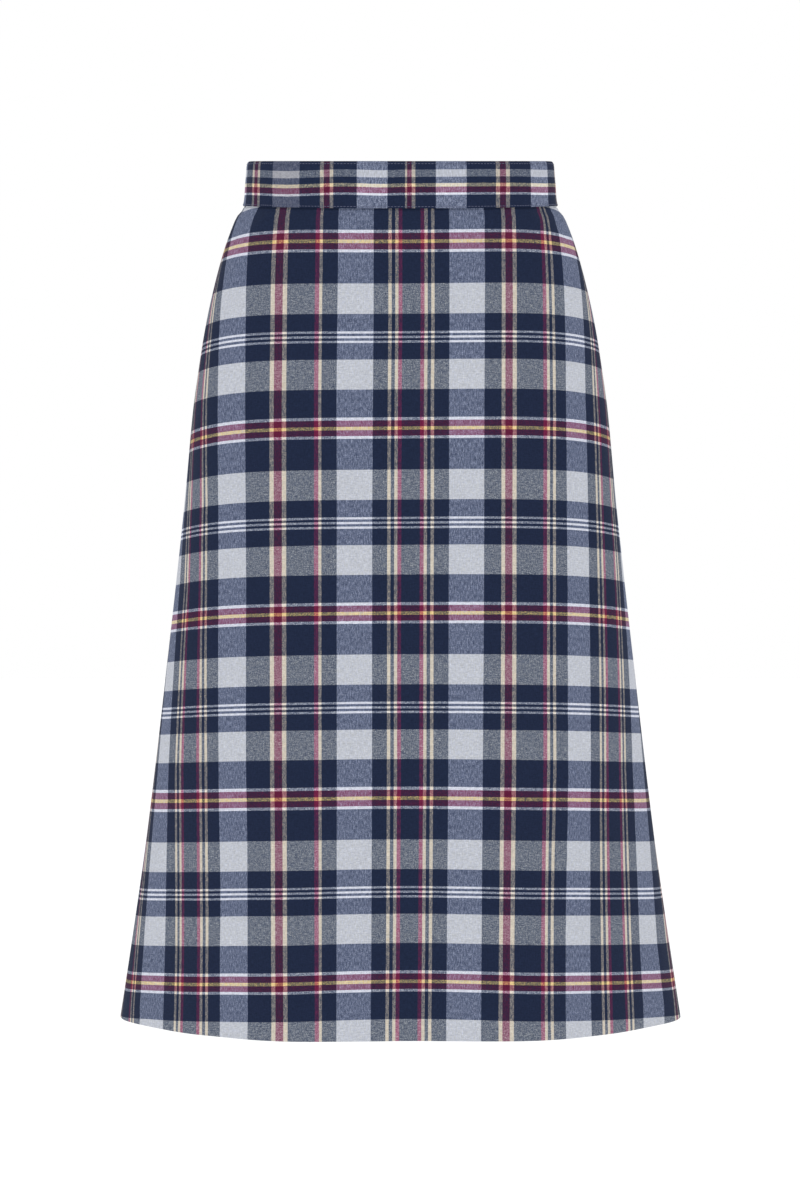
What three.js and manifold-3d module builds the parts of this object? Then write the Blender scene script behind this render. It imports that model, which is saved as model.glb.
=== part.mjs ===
// A-line midi skirt in checked cotton, in the shape it has when it is worn, with nobody in it.
// Millimetres, +Z up. The front faces -Y and the wearer's left side is at +X.
// The origin is the centre of the waist, half way up the waistband.
//
// The pieces are the front panel, cut in one, two back panels that meet at a centre back seam,
// a folded waistband, and a concealed zip in the centre back with its two tapes, slider and pull tab.

import * as THREE from 'three';
import { mergeVertices } from 'three/addons/utils/BufferGeometryUtils.js';
import Module from 'manifold-3d';

const wasm = await Module();
wasm.setup();

// ---------------------------------------------------------------- driving dimensions

const LENGTH = 728;              // waistband's top edge to the hem, at the side
const BAND_HEIGHT = 37;
const BAND_WALL = 2.4;           // waistband: two layers of cloth and its stiffening
const CLOTH_WALL = 1.2;
const HEM_DEPTH = 20;            // the turned-up hem
const HEM_WALL = 2.2;            // where the hem doubles the cloth
const SEAM_GAP = 0.3;            // between two pieces sewn together
const WAIST_DIP = 11;            // how far the waist lies lower at centre front than at centre back
const SEAM_DIP = 14.5;           // the same for the seam under the waistband
const SIDE_SEAM = THREE.MathUtils.degToRad(92);
const ZIP_LENGTH = 205;
const ZIP_OPENING = 1.8;         // between the two ends of the waistband, over the zip
const TAPE_TOP = 3;              // below the waistband's top edge
const TAPE_WIDTH = 11;
const TAPE_WALL = 1;
const TAPE_STEP = { start: BAND_HEIGHT + 4, end: BAND_HEIGHT + 12 };   // from under the band to the panel
const TAPE_ROWS = [60, 76, 104, 136, 170];                             // drops where the tape bends

const WAIST_TOP = BAND_HEIGHT / 2;
const DIP_FADE = 0.25;           // how softly the waist's dip fades out past the sides
const UP = new THREE.Vector3(0, 0, 1);

// Horizontal sections. drop is the distance below the waistband's top edge, side is half the width,
// front and back are the depths from the middle, and power is 2 for an ellipse and more for a squarer one.
const SECTIONS = [
  { drop: 0, side: 130.4, front: 88, back: 87, power: 2.2 },
  { drop: 18, side: 131.4, front: 89.5, back: 89, power: 2.2 },
  { drop: 37, side: 133.8, front: 92, back: 92.5, power: 2.2 },
  { drop: 50, side: 140.6, front: 94.5, back: 97, power: 2.2 },
  { drop: 76, side: 150.0, front: 98.5, back: 106, power: 2.25 },
  { drop: 110, side: 159.0, front: 102.5, back: 117, power: 2.3 },
  { drop: 144, side: 166.1, front: 105.5, back: 125, power: 2.3 },
  { drop: 178, side: 171.4, front: 108, back: 130, power: 2.3 },
  { drop: 212, side: 176.0, front: 110, back: 132.5, power: 2.3 },
  { drop: 297, side: 183.8, front: 117, back: 137, power: 2.3 },
  { drop: 433, side: 198.8, front: 131, back: 147, power: 2.25 },
  { drop: 569, side: 215.0, front: 146, back: 160, power: 2.1 },
  { drop: 650, side: 226.4, front: 158, back: 169, power: 2.05 },
  { drop: 728, side: 238.2, front: 170, back: 178, power: 2.05 },
];

// Soft folds that open towards the hem. at is degrees round from centre front to the wearer's left,
// spread is how far each side of that it reaches, out is how far the hem stands out there
// (in, where it is negative), and from is the drop at which it starts.
const FOLDS = [
  { at: -71, spread: 21, out: -9, from: 300 },
  { at: -31, spread: 22, out: 11, from: 230 },
  { at: 3, spread: 18, out: -5, from: 290 },
  { at: 35, spread: 22, out: 11, from: 210 },
  { at: 71, spread: 20, out: -9, from: 330 },
  { at: 109, spread: 18, out: -9, from: 310 },
  { at: 143, spread: 23, out: 12, from: 230 },
  { at: 171, spread: 16, out: -6, from: 340 },
  { at: -161, spread: 21, out: 9, from: 250 },
  { at: -132, spread: 16, out: -6, from: 360 },
  { at: -108, spread: 17, out: 6, from: 400 },
];

const FOLD_OPENING = 1.6;        // a fold's depth grows with this power of the way down from its start

// How finely the cloth is divided: columns across each piece, and rows down a panel, which stand
// closer together at the hip by the power ROW_CROWDING.
const COLUMNS = { front: 44, back: 22, waistband: 64, tape: 3 };
const PANEL_ROWS = 17;
const ROW_CROWDING = 1.35;

// ---------------------------------------------------------------- the form of the cloth

// A value of the section table at a drop, on a smooth curve through its rows.
function sectionValue(drop, column) {
  const last = SECTIONS.length - 1;
  let k = 0;
  while (k < last - 1 && SECTIONS[k + 1].drop < drop) k += 1;
  const [before, low, high, after] = [k - 1, k, k + 1, k + 2].map(
    (i) => SECTIONS[THREE.MathUtils.clamp(i, 0, last)]);
  const span = high.drop - low.drop;
  const slopeLow = (high[column] - before[column]) / (high.drop - before.drop);
  const slopeHigh = (after[column] - low[column]) / (after.drop - low.drop);
  const s = THREE.MathUtils.clamp((drop - low.drop) / span, 0, 1);
  return low[column] * (1 + 2 * s) * (1 - s) ** 2 + high[column] * s * s * (3 - 2 * s)
    + span * (slopeLow * s * (1 - s) ** 2 - slopeHigh * s * s * (1 - s));
}

// How far the folds move the cloth out at an angle and a drop.
function foldOut(angle, drop) {
  let out = 0;
  for (const fold of FOLDS) {
    const round = THREE.MathUtils.radToDeg(angle) - fold.at;
    const turn = THREE.MathUtils.euclideanModulo(round + 180, 360) - 180;
    if (Math.abs(turn) >= fold.spread || drop <= fold.from) continue;
    const open = ((drop - fold.from) / (LENGTH - fold.from)) ** FOLD_OPENING;
    out += fold.out * open * Math.cos((turn / fold.spread) * Math.PI / 2) ** 2;
  }
  return out;
}

// Distance from the middle to the outside of the cloth. angle is 0 at centre front and a right angle
// at the wearer's left.
function radius(angle, drop) {
  const depth = sectionValue(drop, Math.cos(angle) > 0 ? 'front' : 'back');
  const power = sectionValue(drop, 'power');
  const across = Math.abs(Math.sin(angle)) / sectionValue(drop, 'side');
  const along = Math.abs(Math.cos(angle)) / depth;
  return (across ** power + along ** power) ** (-1 / power) + foldOut(angle, drop);
}

function outside(angle, drop) {
  const r = radius(angle, drop);
  const forward = (r * Math.cos(angle)) / sectionValue(drop, 'front');
  const share = (forward + Math.hypot(forward, DIP_FADE)) / 2;
  const dip = drop < BAND_HEIGHT
    ? THREE.MathUtils.mapLinear(drop, 0, BAND_HEIGHT, WAIST_DIP, SEAM_DIP)
    : THREE.MathUtils.mapLinear(drop, BAND_HEIGHT, LENGTH, SEAM_DIP, 0);
  return new THREE.Vector3(r * Math.sin(angle), -r * Math.cos(angle), WAIST_TOP - drop - dip * share);
}

// A point of the cloth, moved in from its outside along the normal.
function clothPoint(angle, drop, inset) {
  const step = 0.004;
  const round = outside(angle + step, drop).sub(outside(angle - step, drop));
  const down = outside(angle, Math.min(drop + 1, LENGTH)).sub(outside(angle, Math.max(drop - 1, 0)));
  const normal = down.cross(round).normalize();
  return outside(angle, drop).addScaledVector(normal, -inset);
}

// The angle at which a line across the back, x from centre back, meets the cloth.
function angleAtBack(x, drop) {
  return Math.PI - Math.asin(x / radius(Math.PI, drop));
}

// ---------------------------------------------------------------- walls

// A closed wall of cloth over a grid. edges(drop) gives its first and last angle, rows is a list of
// drops from top to bottom, and outer(drop) and inner(drop) say how far in its two faces lie.
function clothWall(name, material, edges, columns, rows, outer, inner) {
  const position = [];
  const grid = [outer, inner].map((inset) => rows.map((drop) => {
    const [first, last] = edges(drop);
    return Array.from({ length: columns + 1 }, (_, j) => {
      const angle = first + (last - first) * (j / columns);
      position.push(...clothPoint(angle, drop, inset(drop)).toArray());
      return position.length / 3 - 1;
    });
  }));
  const index = [];
  const quad = (a, b, c, d) => index.push(a, b, c, a, c, d);
  const [out, inn] = grid;
  const end = rows.length - 1;
  for (let i = 0; i < end; i += 1) {
    for (let j = 0; j < columns; j += 1) {
      quad(out[i][j], out[i + 1][j], out[i + 1][j + 1], out[i][j + 1]);
      quad(inn[i][j], inn[i][j + 1], inn[i + 1][j + 1], inn[i + 1][j]);
    }
    quad(out[i][0], inn[i][0], inn[i + 1][0], out[i + 1][0]);
    quad(out[i][columns], out[i + 1][columns], inn[i + 1][columns], inn[i][columns]);
  }
  for (let j = 0; j < columns; j += 1) {
    quad(out[0][j], out[0][j + 1], inn[0][j + 1], inn[0][j]);
    quad(out[end][j], inn[end][j], inn[end][j + 1], out[end][j + 1]);
  }
  const geometry = new THREE.BufferGeometry();
  geometry.setAttribute('position', new THREE.Float32BufferAttribute(position, 3));
  geometry.setIndex(index);
  return namedMesh(name, geometry, material);
}

function namedMesh(name, geometry, material) {
  geometry.computeVertexNormals();
  const mesh = new THREE.Mesh(geometry, material);
  mesh.name = name;
  return mesh;
}

// ---------------------------------------------------------------- materials

const checkedCotton = new THREE.MeshStandardMaterial({ color: 0x4a5270, roughness: 0.9, metalness: 0 });
const bandCotton = new THREE.MeshStandardMaterial({ color: 0x414a68, roughness: 0.9, metalness: 0 });
const tapeNavy = new THREE.MeshStandardMaterial({ color: 0x1f2740, roughness: 0.85, metalness: 0 });
const zipMetal = new THREE.MeshStandardMaterial({ color: 0x262e47, roughness: 0.4, metalness: 0.6 });

// ---------------------------------------------------------------- cloth pieces

// Drops of a panel's rows, with a step where the hem is turned up.
function panelRows() {
  const top = BAND_HEIGHT + SEAM_GAP;
  const turn = LENGTH - HEM_DEPTH;
  const rows = Array.from({ length: PANEL_ROWS + 1 },
    (_, k) => top + (turn - top) * (k / PANEL_ROWS) ** ROW_CROWDING);
  return [...rows, turn + 1, LENGTH];
}

const panelInner = (drop) => (drop > LENGTH - HEM_DEPTH ? HEM_WALL : CLOTH_WALL);
const onTheOutside = () => 0;
const halfGap = (angle, drop) => SEAM_GAP / 2 / radius(angle, drop);

function frontPanel() {
  const edge = (drop) => SIDE_SEAM - halfGap(SIDE_SEAM, drop);
  return clothWall('front_panel', checkedCotton, (drop) => [-edge(drop), edge(drop)], COLUMNS.front,
    panelRows(), onTheOutside, panelInner);
}

// side is 1 for the wearer's left and -1 for the right.
function backPanel(name, side) {
  const edges = (drop) => {
    const seam = SIDE_SEAM + halfGap(SIDE_SEAM, drop);
    const centre = angleAtBack(SEAM_GAP / 2, drop);
    return side > 0 ? [seam, centre] : [-centre, -seam];
  };
  return clothWall(name, checkedCotton, edges, COLUMNS.back, panelRows(), onTheOutside, panelInner);
}

const bandRows = [0, BAND_HEIGHT / 2, BAND_HEIGHT - 8, BAND_HEIGHT];

function waistband() {
  const edge = (drop) => angleAtBack(ZIP_OPENING / 2, drop);
  return clothWall('waistband', bandCotton, (drop) => [-edge(drop), edge(drop)], COLUMNS.waistband,
    bandRows, onTheOutside, () => BAND_WALL);
}

// One tape of the zip, lying inside the waistband and the back panel.
function zipTape(name, side) {
  const underBand = BAND_WALL + SEAM_GAP;
  const underPanel = CLOTH_WALL + SEAM_GAP;
  const { start, end } = TAPE_STEP;
  const face = (drop) => THREE.MathUtils.mapLinear(
    THREE.MathUtils.clamp(drop, start, end), start, end, underBand, underPanel);
  const rows = [TAPE_TOP, ...bandRows.slice(1), start, end, ...TAPE_ROWS, ZIP_LENGTH];
  const edges = (drop) => {
    const inner = angleAtBack(ZIP_OPENING / 2, drop);
    const outer = angleAtBack(ZIP_OPENING / 2 + TAPE_WIDTH, drop);
    return side > 0 ? [outer, inner] : [-inner, -outer];
  };
  return clothWall(name, tapeNavy, edges, COLUMNS.tape, rows, face, (drop) => face(drop) + TAPE_WALL);
}

// ---------------------------------------------------------------- zip slider and pull tab

// Both are made about the pull tab's pivot: x across, y out from the cloth, z up along it.
const PIVOT = {
  drop: 9,            // below the waistband's top edge
  standOff: 2.8,      // out from the cloth
  pinRadius: 0.5,
  boreRadius: 0.8,
  eyeRadius: 1.2,
  eyeWidth: 1.8,
};
const EAR = { inner: 1.2, outer: 2, radius: 1.3 };
const CLEARANCE = 0.3;
const OVERLAP = 0.2;  // how far one block of the slider goes into the next
const ROD_SIDES = 16;

// The slider's blocks: how far each reaches below and above the pin. The body is a wide part with a
// narrower and longer core.
const SLIDER = {
  crown: [-3, 2],
  neck: [-2.6, 1.6],
  neckInBody: 0.5,
  body: [-5, 4.5],
  bodyHalfWidth: 3.1,
  bodyDepth: 3,
  core: [-6.2, 5.2],
  coreHalfWidth: 2.4,
  coreInset: 0.4,
};

const pull = {
  length: 20,
  thickness: 1.2,
  endClearance: 0.1,  // between its end and the cloth, past CLEARANCE
  neckStart: 0.6,     // below the pivot, inside the eye
  neckWidth: 1.8,
  neckEnd: 2.6,       // from the pivot, clear of the ears when it turns
  shoulderEnd: 4.4,
  shoulderWidth: 3.2,
  endWidth: 4.8,
};

function pivotPlace() {
  const point = clothPoint(Math.PI, PIVOT.drop, -PIVOT.standOff);
  const reach = 5;
  const up = outside(Math.PI, PIVOT.drop - reach).sub(outside(Math.PI, PIVOT.drop + reach)).normalize();
  return { point, lean: Math.acos(up.dot(UP)) };
}

// How far the hanging tab leans in from the slider's own upright, so that its end clears the cloth.
function restLean() {
  const { point, lean } = pivotPlace();
  const standOff = CLEARANCE + pull.thickness / 2 + pull.endClearance;
  const end = clothPoint(Math.PI, PIVOT.drop + pull.length, -standOff);
  return lean - Math.atan2(end.y - point.y, point.z - end.z);
}

function solid(geometry) {
  geometry.deleteAttribute('normal');
  geometry.deleteAttribute('uv');
  const merged = mergeVertices(geometry, 1e-5);
  return new wasm.Manifold(new wasm.Mesh({
    numProp: 3,
    vertProperties: new Float32Array(merged.attributes.position.array),
    triVerts: new Uint32Array(merged.index.array),
  }));
}

function block(x, y, z) {
  const geometry = new THREE.BoxGeometry(x[1] - x[0], y[1] - y[0], z[1] - z[0]);
  geometry.translate((x[0] + x[1]) / 2, (y[0] + y[1]) / 2, (z[0] + z[1]) / 2);
  return solid(geometry);
}

function crossRod(rodRadius, from, to) {
  const geometry = new THREE.CylinderGeometry(rodRadius, rodRadius, to - from, ROD_SIDES);
  geometry.rotateZ(Math.PI / 2).translate((from + to) / 2, 0, 0);
  return solid(geometry);
}

function placedPiece(name, shape, material) {
  const { vertProperties, triVerts } = shape.getMesh();
  const geometry = new THREE.BufferGeometry();
  geometry.setAttribute('position', new THREE.BufferAttribute(new Float32Array(vertProperties), 3));
  geometry.setIndex(new THREE.BufferAttribute(new Uint32Array(triVerts), 1));
  const mesh = namedMesh(name, geometry, material);
  const { point, lean } = pivotPlace();
  mesh.position.copy(point);
  mesh.rotation.x = lean;
  return mesh;
}

// The crown with its two ears and pin outside, the neck through the opening, and the body inside.
function zipSlider() {
  const cloth = -PIVOT.standOff;
  const plateTop = -PIVOT.eyeRadius - CLEARANCE;
  const bodyFront = cloth - BAND_WALL - TAPE_WALL - 2 * CLEARANCE - OVERLAP;
  const neck = ZIP_OPENING / 2 - CLEARANCE;
  const { bodyHalfWidth, bodyDepth, coreHalfWidth, coreInset } = SLIDER;
  let slider = block([-EAR.outer, EAR.outer], [cloth + CLEARANCE, plateTop], SLIDER.crown);
  for (const side of [-1, 1]) {
    const [from, to] = [side * EAR.inner, side * EAR.outer].sort((a, b) => a - b);
    slider = slider.add(crossRod(EAR.radius, from, to));
    slider = slider.add(block([from, to], [plateTop - OVERLAP, 0], [-EAR.radius, EAR.radius]));
  }
  slider = slider.add(crossRod(PIVOT.pinRadius, -EAR.inner - OVERLAP, EAR.inner + OVERLAP));
  slider = slider.add(block([-neck, neck],
    [bodyFront - SLIDER.neckInBody, cloth + CLEARANCE + OVERLAP], SLIDER.neck));
  slider = slider.add(block([-bodyHalfWidth, bodyHalfWidth],
    [bodyFront - bodyDepth, bodyFront], SLIDER.body));
  slider = slider.add(block([-coreHalfWidth, coreHalfWidth],
    [bodyFront - bodyDepth + coreInset, bodyFront - coreInset], SLIDER.core));
  return placedPiece('zip_slider', slider, zipMetal);
}

// A flat tongue on an eye that turns on the slider's pin. It hangs with its end just off the cloth.
function zipPull() {
  const half = pull.endWidth / 2;
  const outline = new THREE.Shape();
  outline.moveTo(-pull.neckWidth / 2, -pull.neckStart);
  outline.lineTo(-pull.neckWidth / 2, -pull.neckEnd);
  outline.lineTo(-pull.shoulderWidth / 2, -pull.shoulderEnd);
  outline.lineTo(-half, -pull.length + half);
  outline.absarc(0, -pull.length + half, half, Math.PI, 2 * Math.PI, false);
  outline.lineTo(pull.shoulderWidth / 2, -pull.shoulderEnd);
  outline.lineTo(pull.neckWidth / 2, -pull.neckEnd);
  outline.lineTo(pull.neckWidth / 2, -pull.neckStart);
  outline.closePath();
  const tongue = new THREE.ExtrudeGeometry(outline,
    { depth: pull.thickness, bevelEnabled: false, curveSegments: 8 });
  tongue.rotateX(Math.PI / 2).translate(0, pull.thickness / 2, 0);
  let tab = solid(tongue.rotateX(-restLean()));
  tab = tab.add(crossRod(PIVOT.eyeRadius, -PIVOT.eyeWidth / 2, PIVOT.eyeWidth / 2));
  tab = tab.subtract(crossRod(PIVOT.boreRadius, -PIVOT.eyeWidth, PIVOT.eyeWidth));
  return placedPiece('zip_pull', tab, zipMetal);
}

// ---------------------------------------------------------------- the skirt

const skirt = new THREE.Group();
skirt.add(frontPanel());
skirt.add(backPanel('back_left_panel', 1));
skirt.add(backPanel('back_right_panel', -1));
skirt.add(waistband());
skirt.add(zipTape('zip_tape_left', 1));
skirt.add(zipTape('zip_tape_right', -1));
skirt.add(zipSlider());
skirt.add(zipPull());

export default skirt;
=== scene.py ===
"""An A-line midi skirt in checked cotton, in the shape it has when it is worn, with nobody in it.

Each cloth piece is one thin sheet. Its edges run on past the seams as allowances, folded back inside,
and its chart says how far across and down the woven check each point of it was cut.
Lengths are in millimetres until a mesh is made, and MM turns them into metres.
Angles go round from centre front to the wearer's left, and a drop is measured down from the waist's edge.
"""

import math

import bpy
import numpy as np
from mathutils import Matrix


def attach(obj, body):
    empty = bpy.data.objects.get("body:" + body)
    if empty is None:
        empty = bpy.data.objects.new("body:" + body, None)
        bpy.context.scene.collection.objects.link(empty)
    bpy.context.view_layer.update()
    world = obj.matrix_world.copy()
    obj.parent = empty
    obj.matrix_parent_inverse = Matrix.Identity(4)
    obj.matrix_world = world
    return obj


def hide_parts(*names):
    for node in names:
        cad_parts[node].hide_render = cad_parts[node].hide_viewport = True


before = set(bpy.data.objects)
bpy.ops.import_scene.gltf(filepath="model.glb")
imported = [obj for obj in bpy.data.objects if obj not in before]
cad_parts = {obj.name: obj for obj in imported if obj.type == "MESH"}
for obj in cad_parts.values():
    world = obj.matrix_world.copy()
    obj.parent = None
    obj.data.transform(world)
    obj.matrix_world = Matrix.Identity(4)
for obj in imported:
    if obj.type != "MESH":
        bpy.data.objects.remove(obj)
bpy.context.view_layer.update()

MM = 0.001

# ---------------------------------------------------------------- sizes of the skirt

LENGTH = 728
BAND_HEIGHT = 37
BAND_WALL = 2.4
CLOTH = 0.45                  # thickness of the cotton
WAIST_TOP = BAND_HEIGHT / 2
WAIST_DIP = 11                # how far the waist's edge lies lower at centre front than at centre back
SEAM_DIP = 13.7               # the same for the seam under the waistband
DIP_FADE = 0.25               # how softly that dip fades out past the sides
FOLD_OPENING = 1.6            # the power by which the folds open towards the hem

WAIST_ALLOWANCE = 8           # how far the panels run up inside the waistband
IN_BAND = 1.05                # how far in they lie there
CLEAR_OF_BAND = 9             # how far below the waistband they come out to the form again
BAND_REACH = 8                # over how much of the drop they do so
GROOVE = 0.7                  # how far the seam draws the cloth in, just under the waistband
GROOVE_DROP = BAND_HEIGHT + 0.4
GROOVE_WIDTH = 0.9
SIDE_SEAM = math.radians(92)
HALF_GAP = 0.05               # from a seam to the folded edge on each side of it
SEAM_BEND = 0.55              # radius of a seam allowance's fold
SEAM_ALLOWANCE = 13
HEM_BEND = 0.9                # radius of the hem's fold
HEM_DEPTH = 20
HEM_TUCK = 7                  # the hem's raw edge, turned under
HEM_TUCK_INSET = 0.75         # how far in that raw edge lies
HEM_STEP = 1.6                # how much further in the hem lies where it covers a seam's allowances

BAND_LIP = 10                 # the waistband's long edges, turned in
BAND_ROUND = 1.1              # how far in the waistband's outside rounds over to its top
BAND_ROUND_DEPTH = 4.5        # how far down that rounding starts
BAND_PUFF = 0.35              # how far the waistband swells out between its rows of stitches
BAND_END_BEND = 0.6           # room that its ends leave at centre back

ZIP_LENGTH = 205
ZIP_OPENING = 1.8
TAPE_TOP = 3
TAPE_WIDTH = 11
TAPE_CLOTH = 0.5              # thickness of the tapes
COIL_PITCH = 1.3
COIL_ENDS = (4, 9)            # how far the coil stops short of the tapes' top and of the zip's end
COIL_CENTRE = 0.62            # from centre back to the middle of each row of coil
COIL_INSET = 1.1              # how much further in than the tapes it lies

SECTION_COLUMNS = ("drop", "side", "front", "back", "power")
SECTIONS = dict(zip(SECTION_COLUMNS, np.array([
    (0, 130.4, 88, 87, 2.2),
    (18, 131.4, 89.5, 89, 2.2),
    (37, 133.8, 92, 92.5, 2.2),
    (50, 140.6, 94.5, 97, 2.2),
    (76, 150.0, 98.5, 106, 2.25),
    (110, 159.0, 102.5, 117, 2.3),
    (144, 166.1, 105.5, 125, 2.3),
    (178, 171.4, 108, 130, 2.3),
    (212, 176.0, 110, 132.5, 2.3),
    (297, 183.8, 117, 137, 2.3),
    (433, 198.8, 131, 147, 2.25),
    (569, 215.0, 146, 160, 2.1),
    (650, 226.4, 158, 169, 2.05),
    (728, 238.2, 170, 178, 2.05),
]).T))

# Soft folds that open towards the hem: where, how far they spread each way in degrees, how far out
# the hem stands there, and the drop at which they start.
FOLDS = (
    (-71, 21, -9, 300), (-31, 22, 11, 230), (3, 18, -5, 290), (35, 22, 11, 210), (71, 20, -9, 330),
    (109, 18, -9, 310), (143, 23, 12, 230), (171, 16, -6, 340), (-161, 21, 9, 250),
    (-132, 16, -6, 360), (-108, 17, 6, 400),
)

# Small creases and puckers in the cloth: the middle's angle and drop, how long and wide they are,
# how many degrees they lean to the wearer's left as they go down, and how far they stand out.
CREASES = (
    (63, 50, 34, 7, 6, 0.9), (55, 47, 26, 6, -5, -0.7), (-63, 49, 32, 7, -6, 0.9), (-56, 46, 24, 6, 4, -0.6),
    (75, 56, 40, 8, 4, -0.8), (-76, 58, 42, 8, -4, -0.8), (40, 45, 18, 6, 0, 0.4), (-38, 45, 18, 6, 0, 0.4),
    (118, 50, 34, 7, 4, 0.9), (131, 47, 26, 6, -5, -0.7), (-121, 50, 32, 7, 5, 0.8),
    (-136, 46, 24, 6, -4, -0.6), (105, 60, 40, 9, 4, -0.7), (-104, 58, 42, 9, -4, -0.7),
    (-14, 520, 330, 22, 3, 1.3), (16, 600, 220, 18, -4, -1.2), (50, 560, 280, 20, 3, 1.2),
    (-52, 610, 210, 18, -3, -1.3), (24, 330, 240, 26, 3, 0.8), (-30, 300, 220, 26, -4, 0.8),
    (150, 540, 280, 22, 3, 1.3), (-150, 580, 260, 20, -3, -1.2), (122, 600, 230, 18, 3, 1.2),
    (-120, 520, 300, 22, 3, 1.3), (176, 480, 200, 20, 2, -0.8),
)


# ---------------------------------------------------------------- the form of the cloth

def section(drop, column):
    """A value of the section table at a drop, on a smooth curve through its rows."""
    rows, values = SECTIONS["drop"], SECTIONS[column]
    last = len(rows) - 1
    low = np.clip(np.searchsorted(rows, drop) - 1, 0, last - 1)
    before, high, after = np.clip(low - 1, 0, last), low + 1, np.clip(low + 2, 0, last)
    span = rows[high] - rows[low]
    slope_low = (values[high] - values[before]) / (rows[high] - rows[before])
    slope_high = (values[after] - values[low]) / (rows[after] - rows[low])
    s = np.clip((drop - rows[low]) / span, 0, 1)
    blend = values[low] * (1 + 2 * s) * (1 - s) ** 2 + values[high] * s * s * (3 - 2 * s)
    return blend + span * (slope_low * s * (1 - s) ** 2 - slope_high * s * s * (1 - s))


def turn_from(angle, degrees):
    """How many degrees an angle is round from another, the shorter way."""
    return (np.degrees(angle) - degrees + 180) % 360 - 180


def fold_out(angle, drop):
    """How far the folds move the cloth out."""
    out = np.zeros(np.broadcast(angle, drop).shape)
    for at, spread, far, start in FOLDS:
        turn = turn_from(angle, at)
        opened = np.clip((drop - start) / (LENGTH - start), 0, None) ** FOLD_OPENING
        wave = np.cos(turn / spread * np.pi / 2) ** 2
        out += np.where(np.abs(turn) < spread, far * opened * wave, 0)
    return out


def outside(angle, drop):
    """A point on the outside of the cloth."""
    angle, drop = np.broadcast_arrays(angle, drop)
    depth = np.where(np.cos(angle) > 0, section(drop, "front"), section(drop, "back"))
    power = section(drop, "power")
    across = np.abs(np.sin(angle)) / section(drop, "side")
    along = np.abs(np.cos(angle)) / depth
    radius = (across ** power + along ** power) ** (-1 / power) + fold_out(angle, drop)
    forward = radius * np.cos(angle) / section(drop, "front")
    share = (forward + np.hypot(forward, DIP_FADE)) / 2
    on_band = WAIST_DIP + (SEAM_DIP - WAIST_DIP) * drop / BAND_HEIGHT
    below = SEAM_DIP * (LENGTH - drop) / (LENGTH - BAND_HEIGHT)
    dip = np.where(drop < BAND_HEIGHT, on_band, below)
    return np.stack([radius * np.sin(angle), -radius * np.cos(angle), WAIST_TOP - drop - dip * share], -1)


def facing(angle, drop):
    """The direction in which the cloth faces."""
    step = 0.004
    across = outside(angle + step, drop) - outside(angle - step, drop)
    down = outside(angle, np.minimum(drop + 1, LENGTH)) - outside(angle, np.maximum(drop - 1, 0))
    normal = np.cross(down, across)
    return normal / np.linalg.norm(normal, axis=-1, keepdims=True)


def creased(angle, drop):
    """How far the small creases and puckers move the cloth out."""
    out = np.zeros(np.broadcast(angle, drop).shape)
    for at, middle, length, width, lean, far in CREASES:
        run = (drop - middle) / (length / 2)
        turn = turn_from(angle, at) - lean * run
        aside = np.radians(turn) * section(np.clip(drop, 0, LENGTH), "side") / width
        out += far * np.exp(-aside ** 2) * np.clip(1 - run ** 2, 0, 1) ** 2
    return out


def folded(start, inset, steps):
    """Rows of (along, inset, length, way) down a sheet that is folded on itself.

    A step is ("run", to, count) or ("turn", to inset, count). way is 1 where the sheet's right side faces
    out and -1 where it faces in.
    """
    rows = [(start, inset, 0.0, 1.0)]
    heading = 1
    for kind, value, count in steps:
        along, inset, length, _ = rows[-1]
        for k in range(1, count + 1):
            t = k / count
            if kind == "run":
                far = (value - along) * t
                rows.append((along + far, inset, length + abs(far), float(heading)))
            else:
                bend = (value - inset) / 2
                a = math.pi * t
                rows.append((along + heading * abs(bend) * math.sin(a), inset + bend * (1 - math.cos(a)),
                             length + abs(bend) * a, heading * math.cos(a)))
        if kind == "turn":
            heading = -heading
    return np.array(rows).T


# ---------------------------------------------------------------- how the check lies on the form

# Marked warp threads: their place across the woven cloth, and how far round from centre front they hang
# at a few drops. The cloth is eased into the waist seam at the sides, so they lean there.
MARKED = (-255.5, -213.8, -175.4, -163.0, -133.7, -110.1, -53.0, -23.2, 39.9, 69.2, 84.2, 132.7, 143.7,
          173.0, 185.4, 223.8, 265.5)
HANGING = {
    37: (-258, -216, -177.5, -165, -134, -110.5, -51.5, -22, 40.5,
         71, 86.5, 138, 147, 180, 193, 230, 271),
    60: (-263, -221, -183.5, -171, -137.5, -110.5, -51.5, -22, 40.5,
         70.5, 85.5, 137, 149, 183, 195, 232, 274),
    87: (-261, -219.5, -183, -170, -136.5, -110.5, -51.5, -22, 40.5,
         70.5, 85, 136, 148, 178, 190.5, 228, 269),
    132: (-259, -217.5, -181, -167.5, -134.5, -110, -52, -22, 40.5,
          70, 84.5, 134.5, 146, 172, 184, 221, 262),
    200: (-256, -215.5, -179.5, -163.5, -133, -110, -52.5, -22.5, 40,
          69.5, 84, 133.5, 144, 167, 178.5, 217.5, 258.5),
    290: (-251, -210.5, -173.5, -160, -131.5, -109.5, -52, -23, 40,
          69, 83.5, 132.5, 143.5, 167, 177.5, 216, 257),
    357: (-248.5, -207.5, -172, -158.5, -130.5, -109, -52, -23, 39.5,
          68.5, 83, 132, 143.5, 166.5, 177, 215.5, 256),
    510: (-252, -214, -170, -157.5, -130.5, -108, -51.5, -23, 39,
          67, 81.5, 131, 143, 167, 177.5, 214, 254),
    661: (-263, -210, -169, -156.5, -128, -105.5, -51.5, -23.5, 37.5,
          65.5, 79.5, 126.5, 139, 165, 177.5, 219.5, 263),
    712: (-266, -209.5, -168, -155.5, -126.5, -104.5, -51.5, -24, 37,
          65, 79, 125.5, 137.5, 165, 177.5, 221, 272),
}
GROUP_CENTRE = 8.3            # the middle of the group of warp stripes at centre front
HEM_SCALE = 1.0435
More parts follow.
